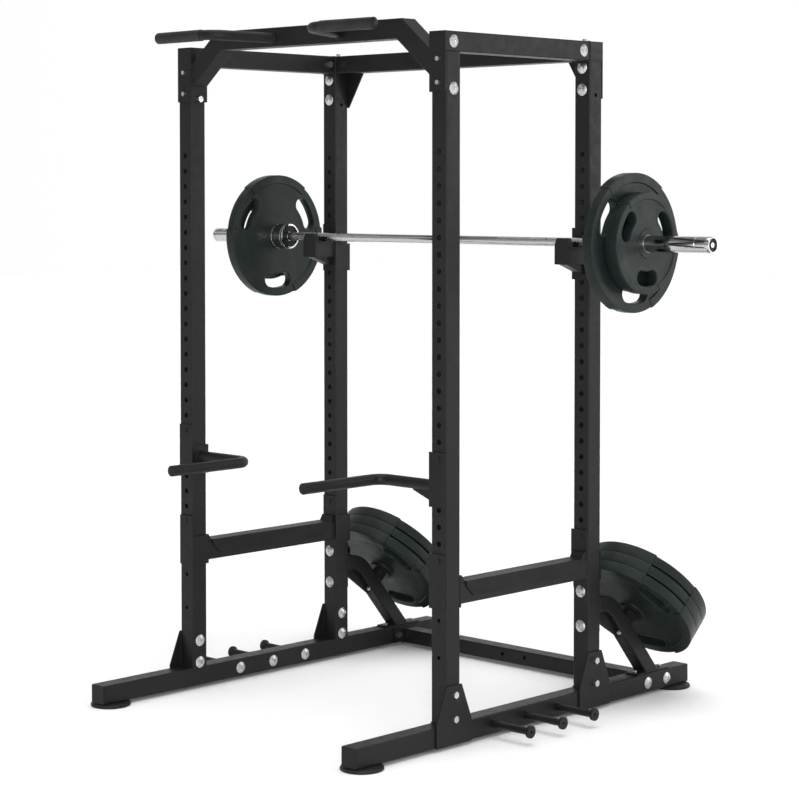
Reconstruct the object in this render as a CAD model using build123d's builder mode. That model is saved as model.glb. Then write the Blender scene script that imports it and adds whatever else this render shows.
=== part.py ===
"""Power cage with a loaded barbell, dip handles, flip-up safety bars and plate storage.

X runs across the cage with the left side at -X, the front is at -Y, and Z is up. The origin is on
the floor, under the middle of the two base rails. Every size is in millimetres.
"""

import os
from math import cos, radians, sin, tan

from build123d import *

os.makedirs("parts", exist_ok=True)

# ---------------------------------------------------------------- driving dimensions
# square steel tube of the frame
TUBE = 60.0
WALL = 3.0
CORNER = 4.0
PLATE = 5.0

# cage layout: upright centres, base rails and heights
HALF_WIDTH = 565.0
FRONT_Y = -376.0
REAR_Y = 283.0
RAIL_LENGTH = 1553.0
FOOT_RADIUS = 63.5
FOOT_HEIGHT = 12.0
FOOT_INSET = 50.0
UPRIGHT_TOP = 2047.0

# adjustment holes in the uprights
HOLE_PITCH = 50.0
TOP_HOLE_Z = 1755.0
HOLE_COUNT = 27
HOLE_RADIUS = 8.5
BOLT_HOLE_RADIUS = 6.25

# heights of the frame bolts
BASE_BOLT_Z = (88.0, 160.0)
STRUT_BOLT_Z = (269.0, 379.0)
TOP_FACE_BOLT_Z = (1957.0, 2026.0)
TOP_SIDE_BOLT_Z = 1940.0
BEAM_BOLT_Z = 2077.0

# hook, dip and safety brackets that hang on the adjustment holes
GAP = 0.3
PIN_RADIUS = 8.0
PIN_LENGTH = 45.0
PIN_HEAD_RADIUS = 9.5
PIN_HEAD = 2.0
BRACKET_UP = 20.0
BRACKET_DOWN = 142.0
SLEEVE_TOP = 48.0
HOOK_PIN_Z = 1505.0
DIP_PIN_Z = 855.0
SAFETY_PIN_Z = 555.0

# barbell
BAR_Y = 208.0
BAR_Z = 1481.0
BAR_RADIUS = 14.0
BAR_HALF_LENGTH = 1100.0
COLLAR_IN = 716.0
COLLAR_OUT = 776.0
COLLAR_RADIUS = 44.0
SLEEVE_RADIUS = 25.0
SLEEVE_GROOVE = 861.6
JOURNAL_RADIUS = 12.45
JOURNAL_BORE = 12.5

# weight plates; each grip opening has a middle radius, a half width and a half turn in degrees
BORE_RADIUS = 25.4
LARGE_RADIUS = 215.0
LARGE_THICKNESS = 38.0
SMALL_RADIUS = 156.0
SMALL_THICKNESS = 46.0
LARGE_GRIP = (158.0, 25.0, 13.0)
SMALL_GRIP = (107.0, 22.5, 14.0)

# plate storage
STRUT_WIDTH = 50.0
STRUT_DEPTH = 50.0
STRUT_ANGLE = 50.0
STRUT_TOP_Z = 330.0
STRUT_FOOT_Y = 592.0
STRUT_BEND = 95.0
HORN_ANGLE = 47.0
HORN_ALONG = 124.3
HORN_LENGTH = 208.0
HORN_RADIUS = 24.5
HORN_WALL = 4.0
STOP_RADIUS = 42.0
STOP_THICKNESS = 8.0
STACK_STANDOFF = 40.9

# handles
HANDLE_RADIUS = 16.0
HANDLE_WALL = 3.0
DIP_RADIUS = 17.0
CAP_THICKNESS = 3.0
GRIP_RADIUS = 18.0
GRIP_DOME = 7.0

# ---------------------------------------------------------------- derived places
INNER = HALF_WIDTH - TUBE / 2
OUTER = HALF_WIDTH + TUBE / 2
RAIL_TOP = FOOT_HEIGHT + TUBE
RAIL_Z = FOOT_HEIGHT + TUBE / 2
FRONT_FACE = FRONT_Y - TUBE / 2
REAR_FACE = REAR_Y + TUBE / 2
REAR_FRONT_FACE = REAR_Y - TUBE / 2
TOP = UPRIGHT_TOP + TUBE
CAGE_MIDDLE = (FRONT_Y + REAR_Y) / 2
CROSS_Y = 613.5
CROSS_BOLT_SPREAD = 50.0
PEG_PITCH = 150.0
SIDES = (("left", -1), ("right", 1))
ENDS = (("front", FRONT_Y), ("rear", REAR_Y))


def finish(piece, name):
    """Label a finished piece and write it to its own file."""
    piece.part.label = name
    export_step(piece.part, f"parts/{name}.step")


def block(x, y, z, mode=Mode.ADD):
    """Add a box between two X values, two Y values and two Z values."""
    centre = ((x[0] + x[1]) / 2, (y[0] + y[1]) / 2, (z[0] + z[1]) / 2)
    with Locations(centre):
        Box(abs(x[1] - x[0]), abs(y[1] - y[0]), abs(z[1] - z[0]), mode=mode)


def tube_section(width=TUBE, height=TUBE, wall=WALL, corner=CORNER):
    """Draw the section of a rectangular tube in the current sketch."""
    RectangleRounded(width, height, corner)
    RectangleRounded(width - 2 * wall, height - 2 * wall, corner - wall / 2, mode=Mode.SUBTRACT)


def across(x):
    """A plane square to X at the given place, with Y to its right and Z up."""
    return Plane.YZ.offset(x)


def facing_front(y):
    """A plane square to Y at the given place, with X to its right and Z up."""
    return Plane.XZ.offset(-y)


# ---------------------------------------------------------------- uprights
for side, sign in SIDES:
    for end, y in ENDS:
        with BuildPart() as upright:
            with BuildSketch(Plane.XY.offset(RAIL_TOP)):
                with Locations((sign * HALF_WIDTH, y)):
                    tube_section()
            extrude(amount=UPRIGHT_TOP - RAIL_TOP)
            with BuildSketch(facing_front(y + TUBE / 2)):
                for n in range(HOLE_COUNT):
                    with Locations((sign * HALF_WIDTH, TOP_HOLE_Z - n * HOLE_PITCH)):
                        Circle(HOLE_RADIUS)
                for z in TOP_FACE_BOLT_Z + STRUT_BOLT_Z:
                    with Locations((sign * HALF_WIDTH, z)):
                        Circle(BOLT_HOLE_RADIUS)
            extrude(amount=TUBE, mode=Mode.SUBTRACT)
            with BuildSketch(across(sign * HALF_WIDTH - TUBE / 2)):
                for z in BASE_BOLT_Z + (TOP_SIDE_BOLT_Z,):
                    with Locations((y, z)):
                        Circle(BOLT_HOLE_RADIUS)
            extrude(amount=TUBE, mode=Mode.SUBTRACT)
        finish(upright, f"upright_{end}_{side}")

# ---------------------------------------------------------------- base rails, caps and feet
for side, sign in SIDES:
    with BuildPart() as rail:
        with BuildSketch(facing_front(RAIL_LENGTH / 2)):
            with Locations((sign * HALF_WIDTH, RAIL_Z)):
                tube_section()
        extrude(amount=RAIL_LENGTH)
        with BuildSketch(across(sign * HALF_WIDTH - TUBE / 2)):
            for y in (CROSS_Y - CROSS_BOLT_SPREAD, CROSS_Y + CROSS_BOLT_SPREAD):
                with Locations((y, RAIL_Z)):
                    Circle(BOLT_HOLE_RADIUS)
            for n in (-1, 0, 1):
                with Locations((CAGE_MIDDLE + n * PEG_PITCH, RAIL_Z)):
                    Circle(BOLT_HOLE_RADIUS)
        extrude(amount=TUBE, mode=Mode.SUBTRACT)
    finish(rail, f"base_rail_{side}")

with BuildPart() as square_caps:
    for side, sign in SIDES:
        for end in (-1, 1):
            with BuildSketch(facing_front(end * (RAIL_LENGTH / 2 - 20))):
                with Locations((sign * HALF_WIDTH, RAIL_Z)):
                    RectangleRounded(TUBE - 2 * WALL - 0.2, TUBE - 2 * WALL - 0.2, CORNER - WALL / 2)
            extrude(amount=-end * 20)
            with BuildSketch(facing_front(end * RAIL_LENGTH / 2)):
                with Locations((sign * HALF_WIDTH, RAIL_Z)):
                    RectangleRounded(TUBE - 1, TUBE - 1, CORNER)
            extrude(amount=-end * CAP_THICKNESS)
        # the ends of the top rear beam
        with BuildSketch(across(sign * (OUTER - 20))):
            with Locations((REAR_Y, UPRIGHT_TOP + TUBE / 2)):
                RectangleRounded(TUBE - 2 * WALL - 0.2, TUBE - 2 * WALL - 0.2, CORNER - WALL / 2)
        extrude(amount=sign * 20)
        with BuildSketch(across(sign * OUTER)):
            with Locations((REAR_Y, UPRIGHT_TOP + TUBE / 2)):
                RectangleRounded(TUBE - 1, TUBE - 1, CORNER)
        extrude(amount=sign * CAP_THICKNESS)
finish(square_caps, "square_end_caps")

with BuildPart() as feet:
    for side, sign in SIDES:
        for end in (-1, 1):
            with BuildSketch():
                with Locations((sign * HALF_WIDTH, end * (RAIL_LENGTH / 2 - FOOT_INSET))):
                    Circle(FOOT_RADIUS)
    extrude(amount=FOOT_HEIGHT)
    fillet(feet.edges().group_by(Axis.Z)[-1], 3)
finish(feet, "floor_feet")

# ---------------------------------------------------------------- rear crossmember on the floor
CROSS_SIZE = 60.0
CROSS_HEIGHT = 50.0
CROSS_FLANGE = 140.0
with BuildPart() as crossmember:
    half_span = INNER - PLATE
    with BuildSketch(across(-half_span)):
        with Locations((CROSS_Y, FOOT_HEIGHT + CROSS_HEIGHT / 2)):
            tube_section(CROSS_SIZE, CROSS_HEIGHT)
    extrude(amount=2 * half_span)
    for sign in (-1, 1):
        block(
            (sign * half_span, sign * INNER),
            (CROSS_Y - CROSS_FLANGE / 2, CROSS_Y + CROSS_FLANGE / 2),
            (FOOT_HEIGHT + 2, RAIL_TOP - 4),
        )
        with BuildSketch(across(sign * INNER)):
            for y in (CROSS_Y - CROSS_BOLT_SPREAD, CROSS_Y + CROSS_BOLT_SPREAD):
                with Locations((y, RAIL_Z)):
                    Circle(BOLT_HOLE_RADIUS)
        extrude(amount=-sign * PLATE, mode=Mode.SUBTRACT)
    with BuildSketch(facing_front(CROSS_Y + CROSS_SIZE / 2)):
        for x in (-50.0, 50.0):
            with Locations((x, RAIL_Z - 2)):
                Circle(BOLT_HOLE_RADIUS)
    extrude(amount=CROSS_SIZE, mode=Mode.SUBTRACT)
finish(crossmember, "rear_crossmember")

# ---------------------------------------------------------------- gussets at the foot of each upright
GUSSET_TOP = 188.0
GUSSET_KNEE = 80.0
GUSSET_HALF_TOP = 33.0
GUSSET_HALF_FOOT = 76.0
with BuildPart() as base_gussets:
    for side, sign in SIDES:
        for end, y in ENDS:
            with BuildSketch(across(sign * OUTER)):
                with BuildLine():
                    Polyline(
                        (y - GUSSET_HALF_FOOT, FOOT_HEIGHT),
                        (y - GUSSET_HALF_FOOT, GUSSET_KNEE),
                        (y - GUSSET_HALF_TOP, GUSSET_TOP),
                        (y + GUSSET_HALF_TOP, GUSSET_TOP),
                        (y + GUSSET_HALF_FOOT, GUSSET_KNEE),
                        (y + GUSSET_HALF_FOOT, FOOT_HEIGHT),
                        close=True,
                    )
                make_face()
                for z in BASE_BOLT_Z:
                    with Locations((y, z)):
                        Circle(BOLT_HOLE_RADIUS, mode=Mode.SUBTRACT)
            extrude(amount=sign * PLATE)
finish(base_gussets, "base_gussets")

# ---------------------------------------------------------------- top frame
SIDE_BEAM_BOLT_Y = 223.5
for side, sign in SIDES:
    with BuildPart() as side_beam:
        with BuildSketch(facing_front(REAR_FRONT_FACE)):
            with Locations((sign * HALF_WIDTH, UPRIGHT_TOP + TUBE / 2)):
                tube_section()
        extrude(amount=REAR_FRONT_FACE - FRONT_FACE)
        with BuildSketch(across(sign * HALF_WIDTH - TUBE / 2)):
            for y in (FRONT_Y, SIDE_BEAM_BOLT_Y):
                with Locations((y, BEAM_BOLT_Z)):
                    Circle(BOLT_HOLE_RADIUS)
        extrude(amount=TUBE, mode=Mode.SUBTRACT)
    finish(side_beam, f"top_side_beam_{side}")

with BuildPart() as rear_beam:
    with BuildSketch(across(-OUTER)):
        with Locations((REAR_Y, UPRIGHT_TOP + TUBE / 2)):
            tube_section()
    extrude(amount=2 * OUTER)
finish(rear_beam, "top_rear_beam")

REAR_GUSSET_LOW = 1930.0
REAR_GUSSET_REACH = 140.0
for side, sign in SIDES:
    with BuildPart() as rear_gusset:
        with BuildSketch(facing_front(REAR_FACE + PLATE)):
            with BuildLine():
                Polyline(
                    (sign * OUTER, REAR_GUSSET_LOW),
                    (sign * OUTER, TOP),
                    (sign * (OUTER - TUBE - REAR_GUSSET_REACH + 29), TOP),
                    (sign * (INNER - 4), REAR_GUSSET_LOW),
                    close=True,
                )
            make_face()
            for z in TOP_FACE_BOLT_Z:
                with Locations((sign * HALF_WIDTH, z)):
                    Circle(BOLT_HOLE_RADIUS, mode=Mode.SUBTRACT)
        extrude(amount=PLATE)
    finish(rear_gusset, f"rear_top_gusset_{side}")

# ---------------------------------------------------------------- raised pull-up bar
BAR_RISE_Z = 2122.0
BAR_BEND_X = 402.0
BAR_SLOPE = 39.7
BAR_END_X = INNER - PLATE
with BuildPart() as pull_up_bar:
    drop = (BAR_END_X - BAR_BEND_X) * tan(radians(BAR_SLOPE))
    # the mitre runs along the line that halves the bend
    mitre = TUBE / 2 * tan(radians(BAR_SLOPE / 2))
    fall = TUBE / 2 / cos(radians(BAR_SLOPE))
    with BuildSketch(facing_front(FRONT_Y + TUBE / 2)):
        with BuildLine():
            Polyline(
                (-BAR_END_X, BAR_RISE_Z - drop + fall),
                (-BAR_BEND_X - mitre, BAR_RISE_Z + TUBE / 2),
                (BAR_BEND_X + mitre, BAR_RISE_Z + TUBE / 2),
                (BAR_END_X, BAR_RISE_Z - drop + fall),
                (BAR_END_X, BAR_RISE_Z - drop - fall),
                (BAR_BEND_X - mitre, BAR_RISE_Z - TUBE / 2),
                (-BAR_BEND_X + mitre, BAR_RISE_Z - TUBE / 2),
                (-BAR_END_X, BAR_RISE_Z - drop - fall),
                close=True,
            )
        make_face()
    extrude(amount=TUBE)
    long_edges = pull_up_bar.edges().filter_by(Axis.Y, reverse=True)
    outside = long_edges.filter_by(lambda e: abs(e.center().X) < BAR_END_X - 1)
    fillet(outside, CORNER / 2)
    # hollow inside, open at both welded ends
    thin = TUBE / 2 - WALL
    thin_mitre = thin * tan(radians(BAR_SLOPE / 2))
    thin_fall = thin / cos(radians(BAR_SLOPE))
    with BuildSketch(facing_front(FRONT_Y + thin)):
        with BuildLine():
            Polyline(
                (-BAR_END_X, BAR_RISE_Z - drop + thin_fall),
                (-BAR_BEND_X - thin_mitre, BAR_RISE_Z + thin),
                (BAR_BEND_X + thin_mitre, BAR_RISE_Z + thin),
                (BAR_END_X, BAR_RISE_Z - drop + thin_fall),
                (BAR_END_X, BAR_RISE_Z - drop - thin_fall),
                (BAR_BEND_X - thin_mitre, BAR_RISE_Z - thin),
                (-BAR_BEND_X + thin_mitre, BAR_RISE_Z - thin),
                (-BAR_END_X, BAR_RISE_Z - drop - thin_fall),
                close=True,
            )
        make_face()
    extrude(amount=2 * thin, mode=Mode.SUBTRACT)
finish(pull_up_bar, "pull_up_crossbar")

PULL_BRACKET_LOW = 1930.0
for side, sign in SIDES:
    with BuildPart() as pull_bracket:
        block(
            (sign * BAR_END_X, sign * OUTER),
            (FRONT_FACE - PLATE, FRONT_FACE),
            (PULL_BRACKET_LOW, TOP),
        )
        block(
            (sign * BAR_END_X, sign * INNER),
            (FRONT_FACE, FRONT_Y + TUBE / 2 + PLATE),
            (PULL_BRACKET_LOW, TOP),
        )
        with BuildSketch(facing_front(FRONT_FACE)):
            for z in TOP_FACE_BOLT_Z:
                with Locations((sign * HALF_WIDTH, z)):
                    Circle(BOLT_HOLE_RADIUS)
        extrude(amount=PLATE, mode=Mode.SUBTRACT)
        with BuildSketch(across(sign * INNER)):
            for z in (TOP_SIDE_BOLT_Z, BEAM_BOLT_Z):
                with Locations((FRONT_Y, z)):
                    Circle(BOLT_HOLE_RADIUS)
        extrude(amount=-sign * PLATE, mode=Mode.SUBTRACT)
    finish(pull_bracket, f"pull_up_bracket_{side}")

# bent handles in front of the pull-up bar, with rubber grips on their outer ends
HANDLE_ROOT_X = 147.4
HANDLE_BEND_X = 212.0
HANDLE_BEND_Y = -597.0
HANDLE_END_X = 477.0
HANDLE_END_Y = -588.0
GRIP_START_X = 264.0
HANDLE_Z = BAR_RISE_Z + 2
HANDLE_ROOT_Z = BAR_RISE_Z - 3
for side, sign in SIDES:
    root = (sign * HANDLE_ROOT_X, FRONT_FACE + 8, HANDLE_ROOT_Z)
    bend = (sign * HANDLE_BEND_X, HANDLE_BEND_Y, HANDLE_Z)
    tip = (sign * HANDLE_END_X, HANDLE_END_Y, HANDLE_Z)
    with BuildPart() as handle:
        with BuildLine() as handle_path:
            FilletPolyline(root, bend, tip, radius=60)
        start = Plane(origin=handle_path.line @ 0, z_dir=handle_path.line % 0)
        with BuildSketch(start):
            Circle(HANDLE_RADIUS)
            Circle(HANDLE_RADIUS - HANDLE_WALL, mode=Mode.SUBTRACT)
        sweep(path=handle_path.line)
        # the root is cut to meet the flat face of the pull-up bar
        block((sign * 100, sign * 200), (FRONT_FACE, FRONT_FACE + 30), (2080, 2160), Mode.SUBTRACT)
    finish(handle, f"pull_up_handle_{side}")

    along = Vector(*tip) - Vector(*bend)
    grip_from = Vector(*bend) + along * ((GRIP_START_X - HANDLE_BEND_X) / (HANDLE_END_X - HANDLE_BEND_X))
    with BuildPart() as grip:
        with BuildSketch(Plane(origin=grip_from, z_dir=along)):
            Circle(GRIP_RADIUS)
            Circle(HANDLE_RADIUS, mode=Mode.SUBTRACT)
        extrude(amount=(Vector(*tip) - grip_from).length)
    finish(grip, f"pull_up_grip_{side}")

# ---------------------------------------------------------------- plate storage behind the uprights
# the strut leaves the upright level, bends down and stands on the rail; the horn rises from its back
down = Vector(0, cos(radians(STRUT_ANGLE)), -sin(radians(STRUT_ANGLE)))
out = Vector(0, sin(radians(STRUT_ANGLE)), cos(radians(STRUT_ANGLE)))
FLANGE_TOP = 402.0
FLANGE_LOW = 246.0
FOOT_PLATE_TOP = RAIL_TOP + PLATE
strut_knee_y = STRUT_FOOT_Y - (STRUT_TOP_Z - FOOT_PLATE_TOP) / tan(radians(STRUT_ANGLE))
strut_back = Vector(0, strut_knee_y, STRUT_TOP_Z) + out * (STRUT_DEPTH / 2)
horn_root = strut_back + down * HORN_ALONG
horn_way = Vector(0, sin(radians(HORN_ANGLE)), cos(radians(HORN_ANGLE)))
WEB_LENGTH = 93.0
WEB_TIP = 12.0
WEB_LOW_Z = 283.0
for side, sign in SIDES:
    x = sign * HALF_WIDTH
    with BuildPart() as strut:
        with BuildLine() as strut_path:
            FilletPolyline(
                (x, REAR_FACE + PLATE, STRUT_TOP_Z),
                (x, strut_knee_y, STRUT_TOP_Z),
                Vector(x, STRUT_FOOT_Y, FOOT_PLATE_TOP) + down * 40,
                radius=STRUT_BEND,
            )
        with BuildSketch(Plane.XZ.offset(-REAR_FACE - PLATE)):
            with Locations((x, STRUT_TOP_Z)):
                tube_section(STRUT_WIDTH, STRUT_DEPTH)
        sweep(path=strut_path.line)
        # the lower end is cut level on the foot plate
        block((x - 40, x + 40), (STRUT_FOOT_Y - 90, STRUT_FOOT_Y + 90), (RAIL_TOP - 70, RAIL_TOP), Mode.SUBTRACT)
        block((x - STRUT_WIDTH / 2, x + STRUT_WIDTH / 2), (REAR_FACE, REAR_FACE + PLATE), (FLANGE_LOW, FLANGE_TOP))
        block(
            (x - STRUT_WIDTH / 2, x + STRUT_WIDTH / 2),
            (CROSS_Y - 98, CROSS_Y + 68),
            (RAIL_TOP, FOOT_PLATE_TOP),
        )
        # web plate in the middle, under the bend and clear of the nut below it
        underside = STRUT_TOP_Z - STRUT_DEPTH / 2 + WALL / 2
        bend_y = strut_knee_y - STRUT_BEND * tan(radians(STRUT_ANGLE / 2))
        bend_radius = STRUT_BEND - STRUT_DEPTH / 2 + WALL / 2
        bend_end = Vector(0, bend_y, STRUT_TOP_Z - STRUT_BEND) + out * bend_radius
        web_end = bend_end + down * WEB_LENGTH
        web_tip = web_end - out * WEB_TIP
        with BuildSketch(across(x - PLATE / 2)):
            with BuildLine():
                Polyline(
                    (web_end.Y, web_end.Z),
                    (web_tip.Y, web_tip.Z),
                    (REAR_FACE + PLATE + 12, WEB_LOW_Z),
                    (REAR_FACE + PLATE, WEB_LOW_Z),
                    (REAR_FACE + PLATE, underside),
                    (bend_y, underside),
                )
                TangentArc((bend_y, underside), (bend_end.Y, bend_end.Z), tangent=(1, 0))
                Line((bend_end.Y, bend_end.Z), (web_end.Y, web_end.Z))
            make_face()
        extrude(amount=PLATE)
        with BuildSketch(facing_front(REAR_FACE + PLATE)):
            for z in STRUT_BOLT_Z:
                with Locations((x, z)):
                    Circle(BOLT_HOLE_RADIUS)
        extrude(amount=PLATE, mode=Mode.SUBTRACT)
    finish(strut, f"storage_strut_{side}")

    horn_plane = Plane(origin=horn_root + Vector(x, 0, 0), z_dir=horn_way)
    with BuildPart() as horn:
        with BuildSketch(horn_plane.offset(-5)):
            Circle(HORN_RADIUS)
            Circle(HORN_RADIUS - HORN_WALL, mode=Mode.SUBTRACT)
        extrude(amount=HORN_LENGTH + 5)
        # its foot is cut to lie on the back of the strut
        split(bisect_by=Plane(origin=horn_root + Vector(x, 0, 0), z_dir=out), keep=Keep.TOP)
        with BuildSketch(horn_plane.offset(STACK_STANDOFF - STOP_THICKNESS - GAP)):
            Circle(STOP_RADIUS)
            Circle(HORN_RADIUS - 1, mode=Mode.SUBTRACT)
        extrude(amount=STOP_THICKNESS)
    finish(horn, f"storage_horn_{side}")


# ---------------------------------------------------------------- weight plates
def weight_plate(plane, radius, thickness, grip):
    """Add a tri-grip weight plate to the current part, standing on a plane square to its bore."""
    rim_width = 0.14 * radius
    web_recess = 4.0
    hub_radius = 46.0
    rim_half_turn = 22.5
    grip_middle, grip_half_width, grip_half_turn = grip
    with BuildSketch(plane.offset(web_recess)) as web:
        Circle(radius - 3)
    extrude(web.sketch, amount=thickness - 2 * web_recess)
    # the full-thickness rim is left out where the three grips are
    with BuildSketch(plane) as rim:
        Circle(radius)
        Circle(radius - rim_width, mode=Mode.SUBTRACT)
        for turn in (-90, 30, 150):
            reach = radius * 1.3
            first, last = radians(turn - rim_half_turn), radians(turn + rim_half_turn)
            with BuildLine():
                Polyline(
                    (0, 0),
                    (reach * cos(first), reach * sin(first)),
                    (reach * cos(last), reach * sin(last)),
                    close=True,
                )
            make_face(mode=Mode.SUBTRACT)
        Circle(hub_radius)
    extrude(rim.sketch, amount=thickness)
    with BuildSketch(plane) as openings:
        Circle(BORE_RADIUS)
        for turn in (-90, 30, 150):
            first, sweep_turn = turn - grip_half_turn, 2 * grip_half_turn
            last = first + sweep_turn
            starts = (grip_middle * cos(radians(first)), grip_middle * sin(radians(first)))
            ends = (grip_middle * cos(radians(last)), grip_middle * sin(radians(last)))
            with BuildLine():
                CenterArc((0, 0), grip_middle + grip_half_width, first, sweep_turn)
                CenterArc(ends, grip_half_width, last, 180)
                CenterArc((0, 0), grip_middle - grip_half_width, first, sweep_turn)
                CenterArc(starts, grip_half_width, first - 180, 180)
            make_face()
    extrude(openings.sketch, amount=thickness, mode=Mode.SUBTRACT)


for side, sign in SIDES:
    facing = Plane(origin=(sign * (COLLAR_OUT + GAP), BAR_Y, BAR_Z), x_dir=(0, sign, 0), z_dir=(sign, 0, 0))
    with BuildPart() as large_plate:
        weight_plate(facing, LARGE_RADIUS, LARGE_THICKNESS, LARGE_GRIP)
    finish(large_plate, f"bar_plate_large_{side}")
    with BuildPart() as small_plate:
        weight_plate(facing.offset(LARGE_THICKNESS + GAP), SMALL_RADIUS, SMALL_THICKNESS, SMALL_GRIP)
    finish(small_plate, f"bar_plate_small_{side}")

    stack_start = horn_root + Vector(sign * HALF_WIDTH, 0, 0) + horn_way * STACK_STANDOFF
    for n, place in enumerate(("inner", "middle", "outer")):
        start = stack_start + horn_way * (n * (LARGE_THICKNESS + GAP))
        lying = Plane(origin=start, x_dir=(-1, 0, 0), z_dir=horn_way)
        with BuildPart() as stored_plate:
            weight_plate(lying, LARGE_RADIUS, LARGE_THICKNESS, LARGE_GRIP)
        finish(stored_plate, f"stored_plate_{place}_{side}")

# ---------------------------------------------------------------- barbell
with BuildPart() as bar_shaft:
    with BuildSketch(across(-COLLAR_IN)):
        with Locations((BAR_Y, BAR_Z)):
            Circle(BAR_RADIUS)
    extrude(amount=2 * COLLAR_IN)
finish(bar_shaft, "barbell_shaft")

CAP_DEPTH = 12.0
with BuildPart() as journals:
    for sign in (-1, 1):
        with BuildSketch(across(sign * COLLAR_IN)):
            with Locations((BAR_Y, BAR_Z)):
                Circle(JOURNAL_RADIUS)
        extrude(amount=sign * (BAR_HALF_LENGTH - COLLAR_IN - CAP_DEPTH - 3))
finish(journals, "barbell_journals")

for side, sign in SIDES:
    with BuildPart() as bar_sleeve:
        with BuildSketch(across(sign * (COLLAR_IN + GAP))):
            with Locations((BAR_Y, BAR_Z)):
                Circle(COLLAR_RADIUS)
        extrude(amount=sign * (COLLAR_OUT - COLLAR_IN - GAP))
        with BuildSketch(across(sign * COLLAR_OUT)):
            with Locations((BAR_Y, BAR_Z)):
                Circle(SLEEVE_RADIUS)
        extrude(amount=sign * (BAR_HALF_LENGTH - COLLAR_OUT))
        rims = bar_sleeve.edges().filter_by(GeomType.CIRCLE)
        chamfer(rims.filter_by(lambda e: abs(e.center().X) > BAR_HALF_LENGTH - 1), 2)
        with BuildSketch(across(sign * (COLLAR_IN + GAP))):
            with Locations((BAR_Y, BAR_Z)):
                Circle(JOURNAL_BORE)
        extrude(amount=sign * (BAR_HALF_LENGTH - COLLAR_IN - GAP - CAP_DEPTH), mode=Mode.SUBTRACT)
        # a fine ring groove marks where the loaded plates end
        with BuildSketch(across(sign * SLEEVE_GROOVE)):
            with Locations((BAR_Y, BAR_Z)):
                Circle(SLEEVE_RADIUS)
                Circle(SLEEVE_RADIUS - 0.3, mode=Mode.SUBTRACT)
        extrude(amount=sign, mode=Mode.SUBTRACT)
    finish(bar_sleeve, f"barbell_sleeve_{side}")


# ---------------------------------------------------------------- brackets that hang on the uprights
def hanging_bracket(sign, y, pin_z, reach=OUTER):
    """Add the plates and pin shared by hooks, dip handles and safety bars to the current part.

    The pin goes into an adjustment hole and has a flat head on the front plate. A channel below it
    wraps the inner side of the upright, reaches out to the given X behind it and is open on the
    outside, so the bracket swings off about its pin.
    """
    front = y - TUBE / 2 - GAP
    back = y + TUBE / 2 + GAP
    inner = sign * (INNER - GAP)
    block(
        (sign * (INNER - GAP - PLATE), sign * (OUTER - 3)),
        (front - PLATE, front),
        (pin_z - BRACKET_DOWN, pin_z + BRACKET_UP),
    )
    block(
        (inner, sign * (INNER - GAP - PLATE)),
        (front - PLATE, back + PLATE),
        (pin_z - BRACKET_DOWN, pin_z - SLEEVE_TOP),
    )
    block((inner, sign * reach), (back, back + PLATE), (pin_z - BRACKET_DOWN, pin_z - SLEEVE_TOP))
    with BuildSketch(facing_front(front)) as pin:
        with Locations((sign * HALF_WIDTH, pin_z)):
            Circle(PIN_RADIUS)
    extrude(pin.sketch, amount=-PIN_LENGTH)
    with BuildSketch(facing_front(front - PLATE)) as pin_head:
        with Locations((sign * HALF_WIDTH, pin_z)):
            Circle(PIN_HEAD_RADIUS)
    extrude(pin_head.sketch, amount=PIN_HEAD)


# bar hooks on the rear uprights
SADDLE_LOW = 1412.0
SADDLE_TOP = 1457.0
LIP_FRONT = 156.0
LIP_BACK = 164.0
LIP_TOP = 1494.0
LINER = 9.5
for side, sign in SIDES:
    x = sign * HALF_WIDTH
    hook_face = REAR_FRONT_FACE - GAP - PLATE
    with BuildPart() as hook:
        hanging_bracket(sign, REAR_Y, HOOK_PIN_Z)
        block((x - 27, x + 27), (LIP_BACK, hook_face), (SADDLE_LOW, SADDLE_TOP))
        with BuildSketch(facing_front(LIP_BACK)):
            with BuildLine():
                Polyline(
                    (x - 30, SADDLE_LOW),
                    (x + 30, SADDLE_LOW),
                    (x + 30, LIP_TOP - 20),
                    (x + 21, LIP_TOP),
                    (x - 21, LIP_TOP),
                    (x - 30, LIP_TOP - 20),
                    close=True,
                )
            make_face()
        extrude(amount=LIP_BACK - LIP_FRONT)
        # rib under the saddle
        with BuildSketch(across(x - 15)):
            with BuildLine():
                Polyline(
                    (LIP_FRONT + 4, SADDLE_LOW),
                    (hook_face, SADDLE_LOW - 32),
                    (hook_face, SADDLE_LOW),
                    close=True,
                )
            make_face()
        extrude(amount=30)
    finish(hook, f"bar_hook_{side}")

    with BuildPart() as hook_liner:
        block((x - 30, x + 30), (LIP_BACK, hook_face), (SADDLE_TOP, SADDLE_TOP + LINER))
        with BuildSketch(facing_front(LIP_BACK + LINER)):
            with BuildLine():
                Polyline(
                    (x - 30, SADDLE_TOP),
                    (x + 30, SADDLE_TOP),
                    (x + 30, LIP_TOP - 20),
                    (x + 21, LIP_TOP),
                    (x - 21, LIP_TOP),
                    (x - 30, LIP_TOP - 20),
                    close=True,
                )
            make_face()
        extrude(amount=LINER)
    finish(hook_liner, f"bar_hook_liner_{side}")

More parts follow.
